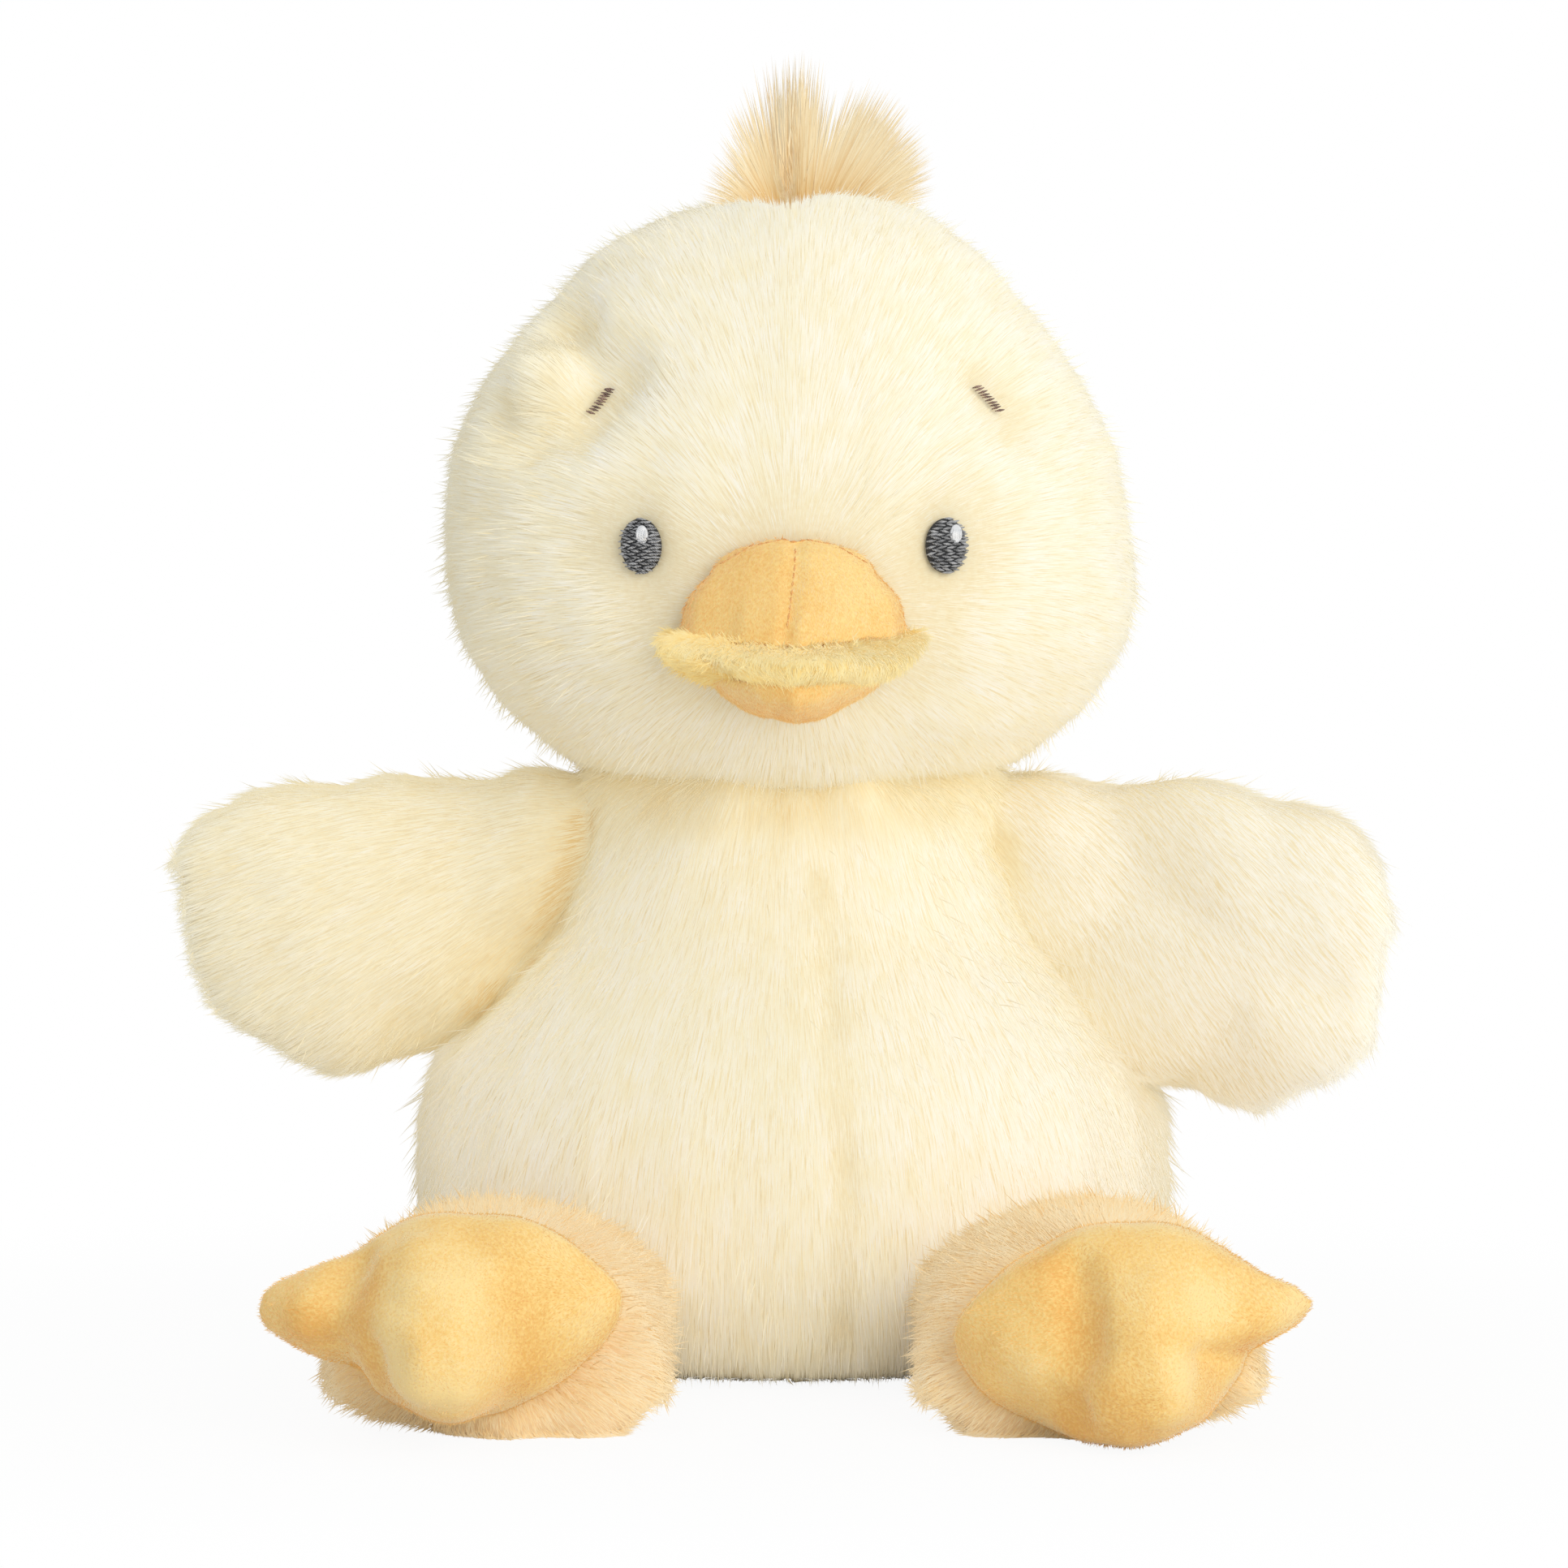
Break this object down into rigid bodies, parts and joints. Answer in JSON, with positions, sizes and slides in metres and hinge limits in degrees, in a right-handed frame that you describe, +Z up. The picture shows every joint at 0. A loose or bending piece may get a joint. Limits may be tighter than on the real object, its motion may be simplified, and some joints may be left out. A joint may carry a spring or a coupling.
{
  "type": "plush duck",
  "caption": "Seated plush duckling with a big round head, a soft bill, lobed wings and webbed feet, in long-pile fabric.",
  "frame": {"origin": "middle of the seat, on the flat underside that the duckling sits on", "axes": "+Z up, through the neck; the duckling faces -Y; +X towards its left wing"},
  "size_m": [0.2525, 0.2164, 0.271],
  "materials": {
    "cream_plush": "long-pile cream plush, matt",
    "fibre_filling": "loose white polyester fibre",
    "pouch_cotton": "plain cotton bag of pellets",
    "seam_thread": "cream sewing thread, satin",
    "grey_thread": "dark grey embroidery, satin",
    "white_thread": "white embroidery, satin",
    "brown_thread": "brown embroidery, satin",
    "orange_velour": "short-pile soft orange velour, matt",
    "brim_plush": "short shaggy pale yellow plush",
    "crest_plush": "long combed pile, warm tan, soft sheen",
    "peach_plush": "long-pile pale peach plush, matt"
  },
  "bodies": {
    "torso": {"torso_front_right": "cream_plush", "torso_front_left": "cream_plush", "torso_back_right": "cream_plush", "torso_back_left": "cream_plush", "seat_panel": "cream_plush", "torso_filling": "fibre_filling", "pellet_pouch": "pouch_cotton", "tail": "cream_plush"},
    "neck": {"neck_filling": "fibre_filling", "neck_stitching": "seam_thread"},
    "head": {"eye_right": "grey_thread", "eye_highlight_right": "white_thread", "brow_right": "brown_thread", "eye_left": "grey_thread", "eye_highlight_left": "white_thread", "brow_left": "brown_thread", "face_right": "cream_plush", "face_left": "cream_plush", "head_back": "cream_plush", "head_filling": "fibre_filling", "bill_upper_right": "orange_velour", "bill_upper_left": "orange_velour", "bill_filling": "fibre_filling", "bill_brim": "brim_plush", "bill_lower": "orange_velour", "crest": "crest_plush"},
    "wing_right": {"wing_right_front": "cream_plush", "wing_right_back": "cream_plush", "wing_right_filling": "fibre_filling"},
    "wing_left": {"wing_left_front": "cream_plush", "wing_left_back": "cream_plush", "wing_left_filling": "fibre_filling"},
    "leg_right": {"leg_right_skin": "peach_plush", "leg_right_filling": "fibre_filling", "foot_right_upper": "orange_velour", "foot_right_sole": "orange_velour", "foot_right_filling": "fibre_filling"},
    "leg_left": {"leg_left_skin": "peach_plush", "leg_left_filling": "fibre_filling", "foot_left_upper": "orange_velour", "foot_left_sole": "orange_velour", "foot_left_filling": "fibre_filling"}
  },
  "joints": [
    {"name": "head_turn", "type": "hinge", "parent": "torso", "child": "neck", "pos_m": [0, 0, 0.112], "axis": [0, 0, 1], "range_deg": [-20, 20], "stiffness_Nm_per_rad": 0.8},
    {"name": "head_nod", "type": "hinge", "parent": "neck", "child": "head", "pos_m": [0, 0, 0.112], "axis": [1, 0, 0], "range_deg": [-8, 8], "stiffness_Nm_per_rad": 1.2},
    {"name": "wing_right_flap", "type": "hinge", "parent": "torso", "child": "wing_right", "pos_m": [-0.05643, 0, 0.092], "axis": [-0.6018, 0, -0.7986], "range_deg": [-20, 20], "stiffness_Nm_per_rad": 0.15},
    {"name": "wing_left_flap", "type": "hinge", "parent": "torso", "child": "wing_left", "pos_m": [0.05643, 0, 0.092], "axis": [0.6018, 0, -0.7986], "range_deg": [-20, 20], "stiffness_Nm_per_rad": 0.15},
    {"name": "leg_right_swing", "type": "hinge", "parent": "torso", "child": "leg_right", "pos_m": [-0.058, -0.03721, 0.02], "axis": [1, 0, 0], "range_deg": [-20, 10], "stiffness_Nm_per_rad": 0.5},
    {"name": "leg_left_swing", "type": "hinge", "parent": "torso", "child": "leg_left", "pos_m": [0.058, -0.03721, 0.02], "axis": [1, 0, 0], "range_deg": [-20, 10], "stiffness_Nm_per_rad": 0.5}
  ]
}
